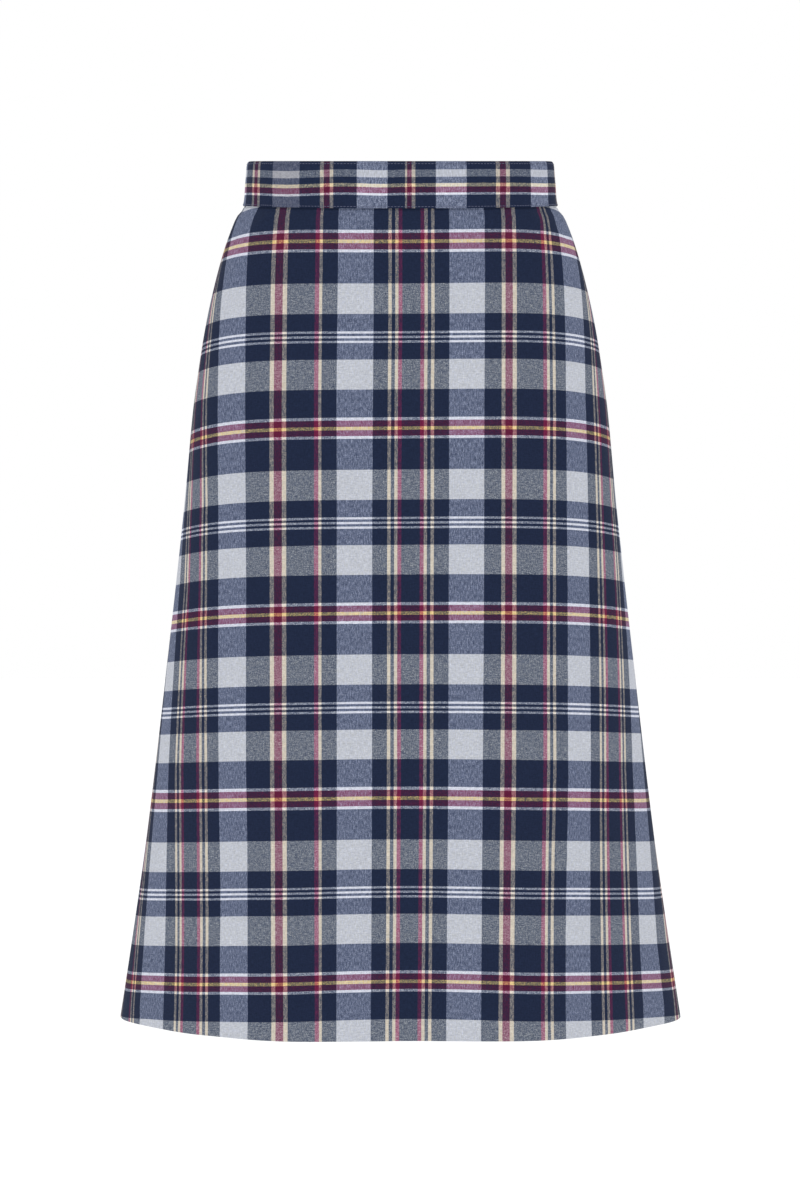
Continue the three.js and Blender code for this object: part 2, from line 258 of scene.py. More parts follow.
CHECK_DROPS = (BAND_HEIGHT, 182, 345, LENGTH)
CHECK_SCALES = (1, 1, 1.0175, HEM_SCALE)

# Heights at centre front, and how far down the woven cloth they are. Its weft repeats every 155.
WEFT_HEIGHTS = (-692, -670.5, -653.5, -524.5, -506.5, -357, -205.5, -69.5, -50.5)
WEFT_PLACES = (664, 638, 620, 483, 465, 310, 155, 18, 0)
WEFT_BELOW = HEM_SCALE * 1.01 # how fast it runs on below the lowest of them

# How a weft thread runs from centre front, over q = x / half width: tilt * q + bow * q^2 + curl * q^6.
DROOP_COLUMNS = ("height", "tilt", "bow", "curl")
DROOP = dict(zip(DROOP_COLUMNS, np.array([
    (-662, -0.8, 12.6, 2.3),
    (-516, -0.3, 6.8, 1.9),
    (-366, -1.3, 2.3, 5.0),
    (-214, -1.5, -1.5, 7.7),
    (-60, -0.6, -6.0, 5.4),
]).T))


def check_scale(drop):
    return np.interp(drop, CHECK_DROPS, CHECK_SCALES)


def woven_across(arc, drop):
    """The place across the woven front of a point at an arc from centre front. Both are grids of rows."""
    drops = sorted(HANGING)
    table = np.array([HANGING[d] for d in drops])
    far = 300                                    # how far past the marked threads the table is carried
    places = np.array([MARKED[0] - far, *MARKED, MARKED[-1] + far])
    across = np.empty_like(arc)
    for i, row in enumerate(drop[:, 0]):
        hung = np.array([np.interp(row, drops, table[:, k]) for k in range(len(MARKED))])
        reach = far / check_scale(row)
        across[i] = np.interp(arc[i], [hung[0] - reach, *hung, hung[-1] + reach], places)
    return across


def woven_down(point, drop):
    """The place down the woven cloth of a point of the form."""
    q = point[..., 0] / section(drop, "side")
    height = point[..., 2]
    tilt, bow, curl = (np.interp(height, DROOP["height"], DROOP[c]) for c in DROOP_COLUMNS[1:])
    level = height + tilt * q + bow * q ** 2 + curl * q ** 6
    down = np.interp(level, WEFT_HEIGHTS, WEFT_PLACES)
    above, below = level - WEFT_HEIGHTS[-1], WEFT_HEIGHTS[0] - level
    return down - np.maximum(above, 0) + np.maximum(below, 0) * WEFT_BELOW


# ---------------------------------------------------------------- sheets

def select_none():
    """Leave edit mode and deselect everything."""
    if bpy.context.mode != "OBJECT":
        bpy.ops.object.mode_set(mode="OBJECT")
    bpy.ops.object.select_all(action="DESELECT")


def cloth_sheet(name, points, chart, material, thickness=CLOTH):
    """A grid of points in millimetres made into a sheet of cloth. chart is its place in the woven cloth."""
    select_none()
    down, across = points.shape[0] - 1, points.shape[1] - 1
    bpy.ops.mesh.primitive_grid_add(x_subdivisions=across, y_subdivisions=down, size=1)
    sheet = bpy.context.object
    sheet.name = sheet.data.name = name
    mesh = sheet.data
    flat = np.empty(len(mesh.vertices) * 3)
    mesh.vertices.foreach_get("co", flat)
    flat = flat.reshape(-1, 3)
    column = np.rint((flat[:, 0] + 0.5) * across).astype(int)
    row = np.rint((0.5 - flat[:, 1]) * down).astype(int)
    mesh.vertices.foreach_set("co", (points[row, column] * MM).ravel())
    corner = np.empty(len(mesh.loops), int)
    mesh.loops.foreach_get("vertex_index", corner)
    place = (chart[row, column] * MM)[corner]
    mesh.uv_layers[0].data.foreach_set("uv", place.ravel())
    mesh.update()
    wall = sheet.modifiers.new("cloth thickness", "SOLIDIFY")
    wall.thickness = thickness * MM
    wall.offset = -1
    bpy.ops.object.modifier_apply(modifier=wall.name)
    bpy.ops.object.shade_smooth()
    mesh.materials.clear()
    mesh.materials.append(material)
    return sheet


def woven_area(chart):
    """The area that a sheet was cut to, in square metres, and its width and length in metres."""
    across, down = chart[..., 0] * MM, chart[..., 1] * MM
    a = np.stack([across, down], -1)
    first, second = a[1:, 1:] - a[:-1, :-1], a[1:, :-1] - a[:-1, 1:]
    area = np.abs(first[..., 0] * second[..., 1] - first[..., 1] * second[..., 0]).sum() / 2
    return float(area), (float(np.ptp(across)), float(np.ptp(down)))


def under_band(drop):
    """1 inside the waistband, fading to 0 below it."""
    return np.clip((BAND_HEIGHT + CLEAR_OF_BAND - drop) / BAND_REACH, 0, 1)


def row_speed(angle, drop):
    """Millimetres along a row for each radian."""
    step = 0.005
    return np.linalg.norm(outside(angle + step, drop) - outside(angle - step, drop), axis=-1) / (2 * step)


def angle_at_back(x, drop):
    """The angle of a point on the form, x to the wearer's left of centre back."""
    centre_back = outside(np.full_like(drop, math.pi), drop)
    return math.pi - np.arcsin(x / np.linalg.norm(centre_back[..., :2], axis=-1))


def panel_rows():
    """Rows down a panel: the drop, how far in, which way it faces, and how far round the hem it is."""
    above, below = BAND_HEIGHT - 1, BAND_HEIGHT + 4
    waist = folded(BAND_HEIGHT - WAIST_ALLOWANCE, IN_BAND, [("run", above, 5), ("run", below, 14)])
    body = np.linspace(below, LENGTH - HEM_BEND, 151)[1:]
    hem = folded(LENGTH - HEM_BEND, 0, [
        ("turn", 2 * HEM_BEND, 8), ("run", LENGTH - HEM_DEPTH, 8),
        ("turn", HEM_TUCK_INSET, 6), ("run", LENGTH - HEM_DEPTH + HEM_TUCK, 2)])
    groove = GROOVE * np.exp(-((waist[0] - GROOVE_DROP) / GROOVE_WIDTH) ** 2)
    tucked = under_band(body)
    drop = np.concatenate([waist[0], body, hem[0, 1:]])
    inset = np.concatenate([waist[1] + groove, IN_BAND * tucked ** 2 * (3 - 2 * tucked), hem[1, 1:]])
    way = np.concatenate([waist[3], np.ones(len(body)), hem[3, 1:]])
    turned = np.concatenate([np.zeros(len(waist[0]) + len(body)), hem[2, 1:]])
    return [part[:, None] for part in (drop, inset, way, turned)]


def allowance_columns():
    """Past a seam: how far along the form, how far in, and how far along the sheet, from its fold."""
    return folded(-SEAM_BEND, 0, [("turn", 2 * SEAM_BEND, 8), ("run", -SEAM_ALLOWANCE, 4)])[:3, 1:]


def panel(name, edges, columns, across_chart, material):
    """A panel of the skirt. edges(drop) gives the angles of its two seams."""
    drop, row_inset, way, turned = panel_rows()
    along, inset, length = allowance_columns()
    past = len(length)

    first, last = edges(drop)
    first_speed, last_speed = row_speed(first, drop), row_speed(last, drop)
    start = first + (SEAM_BEND + HALF_GAP) / first_speed
    end = last - (SEAM_BEND + HALF_GAP) / last_speed
    angle = np.concatenate([
        first + (HALF_GAP - along[::-1]) / first_speed,
        start + (end - start) * np.linspace(0, 1, columns + 1)[None, :],
        last - (HALF_GAP - along) / last_speed], 1)
    flat_part = np.zeros(columns + 1)
    column_inset = np.concatenate([inset[::-1], flat_part, inset])[None, :]
    extra = np.concatenate([-length[::-1], flat_part, length])[None, :]

    # Where the check lies: an allowance carries on from the seam's own column, and the hem from its fold.
    form = outside(angle, drop)
    steps = np.linalg.norm(np.diff(form[:, past:past + columns + 1], axis=1), axis=-1)
    arc = np.concatenate([np.zeros((len(drop), 1)), np.cumsum(steps, 1)], 1)
    column = np.arange(angle.shape[1])
    held = np.clip(column, past, past + columns)
    u = across_chart(arc, drop)[:, held - past] + extra
    v = woven_down(form, np.broadcast_to(drop, angle.shape))[:, held]
    at_hem = np.count_nonzero(turned == 0) - 1
    v = np.where(turned > 0, v[at_hem] + turned * HEM_SCALE, v)
    chart = np.stack([u, v], -1)

    # The hem lies over the seams' allowances, so it stands further in there.
    covered, fade = 6.4, 4                       # columns past the allowance
    aside = np.minimum(column, column[::-1]) - past
    near = np.clip((covered - aside) / fade, 0, 1)[None, :]
    over = HEM_STEP * near * (1 - way) / 2 * (turned > 0)
    deep = row_inset + over + column_inset * way
    deep = deep - creased(angle, drop) * np.clip((drop - BAND_HEIGHT) / 6, 0, 1)
    points = form - facing(angle, drop) * deep[..., None]
    return cloth_sheet(name, points, chart, material), *woven_area(chart)


def front_chart(arc, drop):
    return woven_across(arc - arc[:, arc.shape[1] // 2][:, None], drop)


def back_left_chart(arc, drop):
    return GROUP_CENTRE + (arc - arc[:, -1:]) * check_scale(drop)


def back_right_chart(arc, drop):
    return GROUP_CENTRE + arc * check_scale(drop)


# ---------------------------------------------------------------- the waistband

# The strip was cut a little off the weft: how far from centre front, and how far down the weft lies.
BAND_OFF_GRAIN = np.array([
    (-150, 0.4), (-134, 0.7), (-123, 1.0), (-112, 1.4), (-98, 1.7), (-84, 1.35), (-75, 1.0), (-67, 0.7),
    (-59, 0.35), (-47, 0.15), (-35, 0.4), (-23, 0.8), (-15, 0.95), (-8, 0.8), (0, 0.5), (12, 0.45),
    (37, 0.25), (51, 0.15), (67, 0), (100, 0), (113, 0.1), (122, 0.35), (133, 0.5), (150, 0.4),
]).T


def rounded_in(drop):
    """How much further in the waistband's outside lies where it rounds over to the top."""
    return BAND_ROUND * np.clip(1 - drop / BAND_ROUND_DEPTH, 0, 1) ** 2


def waistband(material):
    """One strip, folded along the top, with both long edges turned in."""
    outer_lip, inner_lip = 0.95, 1.5             # how far in the two lips lie
    lip_end, fold = BAND_HEIGHT - BAND_LIP, BAND_HEIGHT - 0.5
    profile = folded(lip_end, inner_lip, [
        ("run", fold, 4), ("turn", BAND_WALL, 6), ("run", BAND_WALL / 2, 10), ("turn", 0, 10),
        ("run", fold, 24), ("turn", outer_lip, 8), ("run", lip_end, 4)])
    drop, inset, length, way = (p[:, None] for p in profile)
    columns = 320
    reach = angle_at_back(ZIP_OPENING / 2, drop)
    step = 0.01
    speed = np.linalg.norm(outside(reach, drop) - outside(reach - step, drop), axis=-1) / step
    angle = (reach - BAND_END_BEND / speed) * np.linspace(-1, 1, columns + 1)[None, :]
    form = outside(angle, drop)

    # Behind, the stripes stand square to the strip's edges. In front they follow the form.
    steps = np.linalg.norm(np.diff(form, axis=1), axis=-1)
    arc = np.concatenate([np.zeros((len(drop), 1)), np.cumsum(steps, 1)], 1)
    u = arc - arc[:, columns // 2][:, None]
    middle = u[np.argmin(np.abs(drop[:, 0] - BAND_HEIGHT / 2))]
    behind = np.clip(np.abs(angle) * 2 / math.pi - 1, 0, 1)
    u += (middle - u) * behind ** 2 * (3 - 2 * behind)

    # Down the strip, the faces are charted from the top, and the folds and lips carry on from them.
    row = np.arange(len(drop))[:, None]
    from_top = np.linalg.norm(form - outside(angle, np.zeros_like(drop)), axis=-1)
    v = np.where(row < np.argmin(drop[:, 0]), -1, 1) * from_top
    upright = np.abs(way[:, 0]) > 0.99
    on_face = (inset[:, 0] < 0.1) | (inset[:, 0] > BAND_WALL - 0.1)
    faces = np.nonzero(upright & on_face)[0]
    inner, outer = faces[0], faces[-1]
    v = np.where(row < inner, v[inner] - (length[inner] - length), v)
    v = np.where(row > outer, v[outer] + (length - length[outer]), v)
    area, flat = woven_area(np.stack([u, v], -1))
    v -= np.interp(u, *BAND_OFF_GRAIN)

    between = np.clip((drop - 3) / (BAND_HEIGHT - 6), 0, 1)
    puff = BAND_PUFF * np.sin(between * np.pi) * (way > 0.99) * (inset < 0.1)
    deep = inset + rounded_in(drop) * (1 - inset / BAND_WALL) - puff
    points = form - facing(angle, drop) * deep[..., None]
    return cloth_sheet("waistband_cloth", points, np.stack([u, v], -1), material), area, flat


# ---------------------------------------------------------------- sewing

def joined_copies(name, piece, centres, ways, material):
    """Copies of a small piece, joined as one mesh. ways gives each copy's x, y and z, with their lengths."""
    mesh = piece.data
    one = np.array([v.co for v in mesh.vertices])
    faces = np.array([list(p.vertices) for p in mesh.polygons if len(p.vertices) == 4])
    caps = np.array([list(p.vertices) for p in mesh.polygons if len(p.vertices) == 3])
    points = centres[:, None] + sum(one[None, :, k:k + 1] * ways[k][:, None] for k in range(3))
    shift = (np.arange(len(centres)) * len(one))[:, None, None]
    polygons = (faces[None] + shift).reshape(-1, 4).tolist()
    if len(caps):
        polygons += (caps[None] + shift).reshape(-1, 3).tolist()
    mesh.clear_geometry()
    mesh.from_pydata((points.reshape(-1, 3) * MM).tolist(), [], polygons)
    mesh.update()
    piece.name = mesh.name = name
    mesh.materials.clear()
    mesh.materials.append(material)
    select_none()
    piece.select_set(True)
    bpy.context.view_layer.objects.active = piece
    bpy.ops.object.shade_smooth()
    return piece


def level_row(drop, first, last, pitch):
    """Angles at even distances along a row at one drop."""
    fine = np.linspace(first, last, 4000)
    steps = np.linalg.norm(np.diff(outside(fine, drop), axis=0), axis=-1)
    far = np.concatenate([[0], np.cumsum(steps)])
    count = int(far[-1] // pitch)
    return np.interp((np.arange(count) + 0.5) * far[-1] / count, far, fine)


def stitches(name, rows, length, radius, material, lean=0.0):
    """Stitches along rows of (angles, drop, inset, side). side is 1 outside and -1 inside."""
    centres, alongs, outs = [], [], []
    step = 0.002
    for angles, drop, inset, side in rows:
        out = facing(angles, drop)
        run = outside(angles + step, drop) - outside(angles - step, drop)
        run /= np.linalg.norm(run, axis=-1, keepdims=True)
        along = run * math.cos(lean) + np.cross(run, out) * math.sin(lean)
        centres.append(outside(angles, drop) - out * inset)
        alongs.append(along)
        outs.append(out * side)
    centres, along, out = (np.concatenate(part) for part in (centres, alongs, outs))
    select_none()
    bpy.ops.mesh.primitive_uv_sphere_add(segments=6, ring_count=6, radius=1)
    stitch = bpy.context.object
    ways = (np.cross(out, along) * radius, out * radius * 0.8, along * length / 2)
    return joined_copies(name, stitch, centres, ways, material)


def whole_round(drop, pitch, gap):
    """A row right round the skirt, from one side of centre back to the other."""
    reach = math.pi - gap / np.linalg.norm(outside(np.array([math.pi]), drop)[0, :2])
    return level_row(drop, -reach, reach, pitch)


def waistband_sewing(material):
    """Two rows of topstitching outside, and the same two inside."""
    upper, lower, proud = 2.3, BAND_HEIGHT - 1.2, 0.08
    rows = []
    for drop in (upper, lower):
        angles = whole_round(drop, pitch=2.8, gap=2.2)
        rows.append((angles, drop, rounded_in(drop) - proud, 1))
        rows.append((angles, drop, BAND_WALL + proud, -1))
    return stitches("waistband_topstitching", rows, length=2.2, radius=0.24, material=material)


def hem_sewing(material):
    """Small slanting stitches that catch the turned hem to the inside of the cloth."""
    drop, inset = LENGTH - HEM_DEPTH - 0.4, 1.5
    row = (whole_round(drop, pitch=6.5, gap=6), drop, inset, -1)
    return stitches("hem_stitches", [row], length=3.2, radius=0.16, material=material, lean=math.radians(50))


def upright_copies(name, piece, rows, size, material):
    """Copies of a small piece down rows of (angles, drops, insets).

    size is half of a copy's width, depth and length.
    """
    centres, ways = [], []
    for angle, drop, inset in rows:
        out = facing(angle, drop)
        down = outside(angle, drop + 0.5) - outside(angle, drop - 0.5)
        down /= np.linalg.norm(down, axis=-1, keepdims=True)
        centres.append(outside(angle, drop) - out * inset[:, None])
        ways.append([way * half for way, half in zip((np.cross(down, out), out, down), size)])
    ways = tuple(np.concatenate(part) for part in zip(*ways))
    return joined_copies(name, piece, np.concatenate(centres), ways, material)


def seam_sewing(material):
    """The thread that holds each upright seam together, deep between the two folded edges."""
    pitch, inset = 2.3, 0.62
    drop = np.arange(BAND_HEIGHT - 6, LENGTH - 1.5, pitch)
    rows = []
    for seam in (SIDE_SEAM, -SIDE_SEAM, math.pi):
        angle = np.full_like(drop, seam)
        rows.append((angle, drop, inset + IN_BAND * under_band(drop) - creased(angle, drop)))
    select_none()
    bpy.ops.mesh.primitive_uv_sphere_add(segments=6, ring_count=4, radius=1)
    return upright_copies("seam_stitches", bpy.context.object, rows, (0.28, 0.34, pitch * 0.6), material)


# ---------------------------------------------------------------- the zip

def tape_inset(drop):
    """How far in the tapes lie: inside the waistband, then inside the panels."""
    return np.interp(drop, (BAND_HEIGHT + 4, BAND_HEIGHT + 12), (BAND_WALL + 0.3, 1.5))


def zip_tape(name, side, material):
    """One woven tape. Its inner edge carries the coil, and its outer edge has a thicker selvedge."""
    drop = np.linspace(TAPE_TOP, ZIP_LENGTH, 76)[:, None]
    across = np.array([0, 0.6, 1.4, 1.9, 2.6, 4, 6, 8, 9.4, 10.0, 10.5, TAPE_WIDTH])[None, :]
    if side > 0:
        across = across[:, ::-1]
    x = ZIP_OPENING / 2 + across
    angle = side * angle_at_back(x, drop + 0 * x)
    under_coil, selvedge_from = 1.9, 9.9
    beside_coil = 0.18 * np.exp(-((across - under_coil) / 0.5) ** 2)
    selvedge = 0.12 * (across > selvedge_from)
    deep = tape_inset(drop) + TAPE_CLOTH / 2 - beside_coil - selvedge
    points = outside(angle, drop) - facing(angle, drop) * deep[..., None]
    chart = np.stack([side * x + 0 * drop, drop + 0 * x], -1)
    return cloth_sheet(name, points, chart, material, TAPE_CLOTH), *woven_area(chart)


def coil_row(side, start, pitch):
    """The middle of one row of coil, at even distances down it."""
    drop = np.arange(start, ZIP_LENGTH - COIL_ENDS[1], pitch)
    return side * angle_at_back(COIL_CENTRE, drop), drop, tape_inset(drop) + COIL_INSET


def zip_coil(material):
    """The two rows of coil, meshed together, seen from the inside."""
    select_none()
    bpy.ops.mesh.primitive_torus_add(major_segments=10, minor_segments=5, major_radius=1, minor_radius=0.3)
    start = TAPE_TOP + COIL_ENDS[0]
    rows = [coil_row(1, start, COIL_PITCH), coil_row(-1, start + COIL_PITCH / 2, COIL_PITCH)]
    return upright_copies("zip_coil", bpy.context.object, rows, (0.85, 0.42, 0.85), material)


def zip_cords(material):
    """The cords that the coils are wound round. They close the slit between the tapes."""
    select_none()
    bpy.ops.mesh.primitive_cylinder_add(vertices=8, radius=1, depth=2, end_fill_type="TRIFAN")
    link = 2.6
    rows = [coil_row(side, TAPE_TOP + COIL_ENDS[0], link) for side in (1, -1)]
    return upright_copies("zip_cords", bpy.context.object, rows, (0.64, 0.3, link * 0.51), material)


def finished_metal(name, node, material, edge):
    """A metal part with its edges eased and the enamel flowing over them."""
    select_none()
    rough = bpy.data.objects[node]
    part = rough.copy()
    part.data = rough.data.copy()
    bpy.context.collection.objects.link(part)
    part.name = part.data.name = name
    part.select_set(True)
    bpy.context.view_layer.objects.active = part
    bpy.ops.object.mode_set(mode="EDIT")
    bpy.ops.mesh.select_all(action="SELECT")
    bpy.ops.mesh.remove_doubles(threshold=0.002 * MM)
    bpy.ops.mesh.dissolve_limited(angle_limit=math.radians(1))
    bpy.ops.object.mode_set(mode="OBJECT")
    eased = part.modifiers.new("eased edges", "BEVEL")
    eased.width = edge * MM
    eased.segments = 3
    eased.limit_method = "ANGLE"
    eased.angle_limit = math.radians(40)
    bpy.ops.object.modifier_apply(modifier=eased.name)
    bpy.ops.object.shade_smooth_by_angle(angle=math.radians(35))
    part.data.materials.clear()
    part.data.materials.append(material)
    return part


# ---------------------------------------------------------------- materials

# Yarns: red, green and blue as they look, out of 255.
YARNS = {
    "navy": (36, 44, 65),
    "pale blue": (177, 183, 204),
    "pale grey": (194, 195, 192),
    "white": (230, 231, 236),
    "claret": (94, 34, 59),
    "red": (118, 40, 73),
    "yellow": (238, 200, 117),
    "cream": (205, 187, 163),
    "straw": (228, 207, 158),
    "light blue": (198, 203, 222),
    # the light blue yarn painted darker: painted shade over the waistband's front at the wearer's right
    "light blue in painted shade": (140, 140, 154),
    "ash": (166, 168, 170),
}
YARN_MIX = 0.6                # two crossing yarns look like the mean of this power of them
GAMMA = 2.2

# The check, yarn by yarn and millimetre by millimetre. The warp's whole repeat is two halves.
GROUP = (("cream", 2.75), ("navy", 2.95), ("cream", 2.65), ("red", 3.2), ("navy", 15.2), ("red", 3.2),
         ("cream", 2.65), ("navy", 2.95), ("cream", 2.75), ("navy", 12.4), ("pale blue", 29.3))
WARP_HALVES = (
    (*GROUP, ("navy", 15.0), ("cream", 3.2), ("claret", 6.2), ("cream", 3.5), ("navy", 23.8),
     ("red", 3.5), ("cream", 2.6), ("navy", 2.9), ("cream", 2.8), ("navy", 11.0), ("pale blue", 29.3),
     ("navy", 12.4)),
    (*GROUP, ("navy", 23.6), ("cream", 3.8), ("claret", 7.1), ("cream", 3.8), ("navy", 23.7),
     ("red", 3.6), ("cream", 2.5), ("navy", 12.6), ("pale blue", 29.8), ("navy", 12.3)),
)
WARP_START = -10.9
WEFT = (("white", 2.5), ("claret", 5.3), ("yellow", 2.8), ("claret", 5.0), ("white", 2.3), ("navy", 26.0),
        ("pale grey", 25.3), ("navy", 14.5), ("white", 1.8), ("navy", 2.1), ("white", 1.8), ("navy", 2.1),
        ("white", 1.8), ("navy", 13.8), ("pale grey", 24.8), ("navy", 23.1))

# The waistband's check: the repeat round its back, the stripes of its front from the wearer's right to
# left, and the weft, from the inside's lower edge over the top to the outside's.
BAND_STRIPE = (("cream", 3.4), ("claret", 5.4), ("cream", 3.4), ("navy", 19), ("light blue", 26),
               ("navy", 19))
# Its first light blue stripe, at the wearer's right, is painted darker as painted shade.
BAND_FRONT = (("navy", 6.8), ("cream", 3.6), ("claret", 5.8), ("cream", 3.4), ("navy", 16.5),
              ("light blue in painted shade", 27.7), ("navy", 18.7), ("cream", 3.3), ("claret", 5.2), ("cream", 3.0),
              ("navy", 19.9), ("light blue", 25.5), ("navy", 14.5), ("cream", 1.6), ("claret", 3.9),
              ("cream", 2.9), ("navy", 17.0), ("light blue", 25.9), ("navy", 26.0), ("cream", 3.7),
              ("claret", 5.8), ("cream", 3.8), ("navy", 22.6), ("light blue", 25.2), ("navy", 21.8))
BAND_FRONT_START = -150
BAND_DOWN = (("navy", 24.5), ("white", 2), ("claret", 5.0), ("straw", 2.9), ("navy", 5.4), ("ash", 6.2),
             ("navy", 11.1), ("ash", 6.1), ("navy", 5.4), ("straw", 2.9), ("claret", 5.0), ("white", 1.9),
             ("navy", 21.6))
BAND_DOWN_START = -50


YARN_PITCH = 0.42 * MM        # from one yarn to the next
LEAST_SEEN = 0.12             # the share of the yarn underneath that still shows
FLECKS = (60, 60, 1)          # scale of the cloth's slow changes of shade
# Uneven yarn: the scale of its noise, how far it brings one yarn over the other, and how far it shades.
SPECKLES = ((1250, 1250, 1), 0.9, 0.12)
SLUBS_DOWN = ((1000, 260, 1), -0.6, 0.14)
SLUBS_ACROSS = ((260, 1000, 1), 0.4, 0.14)
FINE_GRAIN = (2600, 2600, 900)


class Nodes:
    """Adds nodes to a material's tree, each fed as it is made."""

    def __init__(self, name):
        self.material = bpy.data.materials.new(name)
        self.material.use_nodes = True
        self.tree = self.material.node_tree
        self.tree.nodes.clear()

    def add(self, kind, *inputs, **settings):
        node = self.tree.nodes.new("ShaderNode" + kind)
        for key, value in settings.items():
            setattr(node, key, value)
        for k, value in enumerate(inputs):
            self.feed(node.inputs[k], value)
        return node

    def feed(self, socket, value):
        if value is None:
            return
        if hasattr(value, "is_output"):
            self.tree.links.new(value, socket)
        else:
            socket.default_value = value

    def math(self, operation, *inputs):
        """A Math node's result."""
        return self.add("Math", *inputs, operation=operation).outputs[0]

    def mix(self, factor, a, b):
        """Colour a where the factor is 0 and b where it is 1."""
        node = self.add("Mix", data_type="RGBA")
        self.feed(node.inputs[0], factor)
        self.feed(node.inputs[6], a)
        self.feed(node.inputs[7], b)
        return node.outputs[2]

    def noise(self, vector, scales, detail):
        """Noise that is stretched by three scales."""
        stretch = self.add("VectorMath", vector, scales, operation="MULTIPLY").outputs[0]
        return self.add("TexNoise", stretch, None, 1.0, detail).outputs[0]

    def centred(self, noise):
        """Noise with its middle at 0."""
        return self.math("SUBTRACT", noise, 0.5)

    def finish(self, colour, bump, roughness):
        """The surface's own shader, which takes what is the same all over on its sockets."""
        shader = self.add("BsdfPrincipled")
        self.feed(shader.inputs["Base Color"], colour)
        self.feed(shader.inputs["Normal"], bump.outputs[0])
        shader.inputs["Roughness"].default_value = roughness
        self.add("OutputMaterial", shader.outputs[0])
        return shader

    def stripes(self, place, start, chart):
        """The yarn at a place, from a chart that repeats, with its colour raised to YARN_MIX."""
        total = sum(width for _, width in chart)
        into = self.math("FLOORED_MODULO", self.math("SUBTRACT", place, start * MM), total * MM)
        colour, end = dyed(chart[0][0]), chart[0][1]
        for yarn, width in chart[1:]:
            past = self.math("GREATER_THAN", into, end * MM)
            colour = self.mix(past, colour, dyed(yarn))
            end += width
        return colour


def dyed(yarn):
    """A yarn's colour, raised to YARN_MIX."""
    return (*((level / 255) ** YARN_MIX for level in YARNS[yarn]), 1)


def woven_cotton(name, warp_of, weft_of):
    """Plain-woven cotton, mixed yarn by yarn. warp_of and weft_of give the yarns at a place."""
    n = Nodes(name)
    place = n.add("UVMap").outputs[0]
    split = n.add("SeparateXYZ", place)
    across, down = split.outputs[0], split.outputs[1]
    warp, weft = warp_of(n, across), weft_of(n, down)

    # Over and under: every second thread of each yarn is on top.
    wave = n.math("MULTIPLY", n.math("SINE", n.math("MULTIPLY", across, math.pi / YARN_PITCH)),
                  n.math("SINE", n.math("MULTIPLY", down, math.pi / YARN_PITCH)))

    # Speckles are short bits of a yarn that stand up, and slubs are thick stretches of a thread.
    speckle = n.noise(place, SPECKLES[0], 1.0)
    fleck = n.centred(n.noise(place, FLECKS, 3.0))
    lean, shade = 0.5, n.math("MULTIPLY_ADD", fleck, 0.03, 1.0)
    for noise, (_, over, shaded) in ((speckle, SPECKLES),
                                     (n.noise(place, SLUBS_DOWN[0], 1.0), SLUBS_DOWN),
                                     (n.noise(place, SLUBS_ACROSS[0], 1.0), SLUBS_ACROSS)):
        uneven = n.centred(noise)
        lean = n.math("MULTIPLY_ADD", uneven, over, lean)
        shade = n.math("MULTIPLY_ADD", uneven, shaded, shade)
    lean = n.math("MULTIPLY_ADD", wave, 0.08, lean)
    held = n.add("Clamp", lean, LEAST_SEEN, 1 - LEAST_SEEN).outputs[0]
    tone = n.add("VectorMath", n.mix(held, warp, weft), None, None, shade, operation="SCALE").outputs[0]
    colour = n.add("Gamma", tone, GAMMA / YARN_MIX).outputs[0]

    raised = n.math("MULTIPLY_ADD", wave, 0.5, speckle)
    bump = n.add("Bump", 0.35, 0.12 * MM)
    n.feed(bump.inputs["Height"], raised)
    shader = n.finish(colour, bump, roughness=0.88)
    shader.inputs["Specular IOR Level"].default_value = 0.05
    shader.inputs["Sheen Weight"].default_value = 0.02
    shader.inputs["Sheen Roughness"].default_value = 0.5
    return n.material


def skirt_warp(n, across):
    """The warp yarn at a place across the panels' cloth."""
    widths = [sum(width for _, width in half) for half in WARP_HALVES]
    whole = sum(widths)
    moved = n.math("SUBTRACT", across, WARP_START * MM)
    turns = n.math("FLOOR", n.math("DIVIDE", moved, whole * MM))
    rest = n.math("SUBTRACT", moved, n.math("MULTIPLY", turns, whole * MM))
    second = n.math("GREATER_THAN", rest, widths[0] * MM)
    return n.mix(second, n.stripes(rest, 0, WARP_HALVES[0]), n.stripes(rest, widths[0], WARP_HALVES[1]))


def skirt_weft(n, down):
    """The weft yarn at a place down the panels' cloth."""
    return n.stripes(down, 0, WEFT)


def band_warp(n, across):
    """The warp yarn at a place along the waistband."""
    end = BAND_FRONT_START + sum(width for _, width in BAND_FRONT)
    inside = n.math("MULTIPLY", n.math("GREATER_THAN", across, BAND_FRONT_START * MM),
                    n.math("LESS_THAN", across, end * MM))
    return n.mix(inside, n.stripes(across, end, BAND_STRIPE), n.stripes(across, BAND_FRONT_START, BAND_FRONT))


def band_weft(n, down):
    """The weft yarn at a place across the waistband."""
    return n.stripes(down, BAND_DOWN_START, BAND_DOWN)


def plain(name, colour, roughness, metal=0.0, grain=0.0, glow=0.0):
    """A plain finish with a fine grain in its shade and surface."""
    n = Nodes(name)
    fine = n.noise(n.add("TexCoord").outputs["Object"], FINE_GRAIN, 3.0)
    shade = n.math("MULTIPLY_ADD", n.centred(fine), grain, 1.0)
    tone = n.add("VectorMath", colour, None, None, shade, operation="SCALE").outputs[0]
    bump = n.add("Bump", 0.3, 0.08 * MM)
    n.feed(bump.inputs["Height"], fine)
    shader = n.finish(tone, bump, roughness)
    shader.inputs["Metallic"].default_value = metal
    shader.inputs["Emission Color"].default_value = (1, 1, 1, 1)
    shader.inputs["Emission Strength"].default_value = glow
    return n.material


# ---------------------------------------------------------------- making the skirt

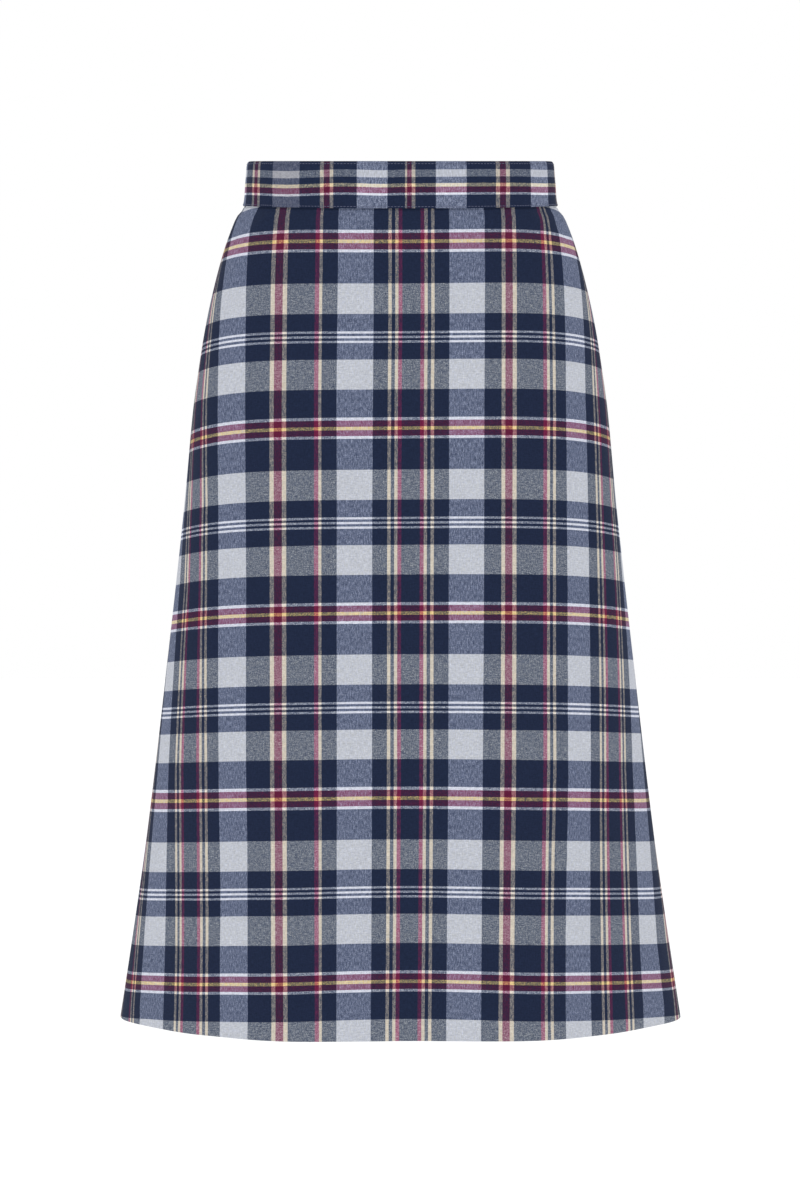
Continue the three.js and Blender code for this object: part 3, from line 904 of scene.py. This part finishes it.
checked_cotton = woven_cotton("checked cotton", skirt_warp, skirt_weft)
band_cotton = woven_cotton("waistband cotton", band_warp, band_weft)
tape_weave = plain("navy zip tape", (0.014, 0.022, 0.055), 0.85, grain=0.5)
thread = plain("sewing thread", (0.115, 0.127, 0.205), 0.75, grain=0.5)
coil_nylon = plain("navy zip coil", (0.016, 0.024, 0.056), 0.4, grain=0.1)
enamel = plain("navy enamel", (0.018, 0.027, 0.065), 0.32, metal=0.55, grain=0.05)


def front_edges(drop):
    return np.full_like(drop, -SIDE_SEAM, float), np.full_like(drop, SIDE_SEAM, float)


def back_left_edges(drop):
    return np.full_like(drop, SIDE_SEAM, float), np.full_like(drop, math.pi, float)


def back_right_edges(drop):
    return np.full_like(drop, -math.pi, float), np.full_like(drop, -SIDE_SEAM, float)


PANELS = (                    # piece, node, seams, columns from seam to seam, chart
    ("front_cloth", "front_panel", front_edges, 144, front_chart),
    ("back_left_cloth", "back_left_panel", back_left_edges, 76, back_left_chart),
    ("back_right_cloth", "back_right_panel", back_right_edges, 76, back_right_chart),
)
for piece_name, node, edges, columns, chart in PANELS:
    cloth, area, flat = panel(piece_name, edges, columns, chart, checked_cotton)
    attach(cloth, "skirt")
    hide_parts(node)

band, area, flat = waistband(band_cotton)
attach(band, "skirt")
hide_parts("waistband")

for side, node in ((1, "zip_tape_left"), (-1, "zip_tape_right")):
    tape, area, flat = zip_tape(node + "_cloth", side, tape_weave)
    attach(tape, "skirt")
    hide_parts(node)

SEWN_ON = (
    (waistband_sewing(thread), "waistband_cloth"),
    (hem_sewing(thread), "skirt_cloth"),
    (seam_sewing(tape_weave), "skirt_cloth"),
    (zip_coil(coil_nylon), "zip_tape"),
    (zip_cords(tape_weave), "zip_tape"),
)
for piece, slot in SEWN_ON:
    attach(piece, "skirt")

for node, body, edge in (("zip_slider", "skirt", 0.12), ("zip_pull", "zip_pull", 0.2)):
    part = finished_metal(node + "_metal", node, enamel, edge)
    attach(part, body)
    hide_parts(node)

# ---------------------------------------------------------------- floor, light and camera, in metres

FLOOR_HEIGHT = -1.1
LAMPS = (                     # name, place, size and power
    ("key", (-1.6, -2.6, 1.3), 2.0, 5),
    ("fill", (1.9, -2.4, 0.6), 2.2, 2),
)
LAMPS_FACE = np.array((0, 0, -0.3))
CAMERA_PLACE = (-0.0003, -3.0, -0.3552)
CAMERA_LENS = 105.88
CAMERA_SENSOR = 36

pale = plain("pale floor", (0.95, 0.95, 0.95), 0.9, glow=0.12)
select_none()
bpy.ops.mesh.primitive_plane_add(size=60, location=(0, 0, FLOOR_HEIGHT))
floor = bpy.context.object
floor.name = "floor"
floor.data.materials.append(pale)

world = bpy.data.worlds.new("white room")
bpy.context.scene.world = world
world.use_nodes = True
background = world.node_tree.nodes["Background"]
background.inputs["Color"].default_value = (1, 1, 1, 1)
background.inputs["Strength"].default_value = 1.0
bpy.context.scene.view_settings.view_transform = "Standard"

for lamp_name, place, size, power in LAMPS:
    bpy.ops.object.light_add(type="AREA", location=place)
    lamp = bpy.context.object
    lamp.name = lamp_name
    lamp.data.size = size
    lamp.data.energy = power
    aim = LAMPS_FACE - np.array(place)
    tilt = math.atan2(math.hypot(aim[0], aim[1]), -aim[2])
    lamp.rotation_euler = (tilt, 0, math.atan2(aim[1], aim[0]) - math.pi / 2)

bpy.ops.object.camera_add(location=CAMERA_PLACE, rotation=(math.pi / 2, 0, 0))
camera = bpy.context.object
camera.name = "camera"
camera.data.sensor_width = CAMERA_SENSOR
camera.data.lens = CAMERA_LENS
bpy.context.scene.camera = camera
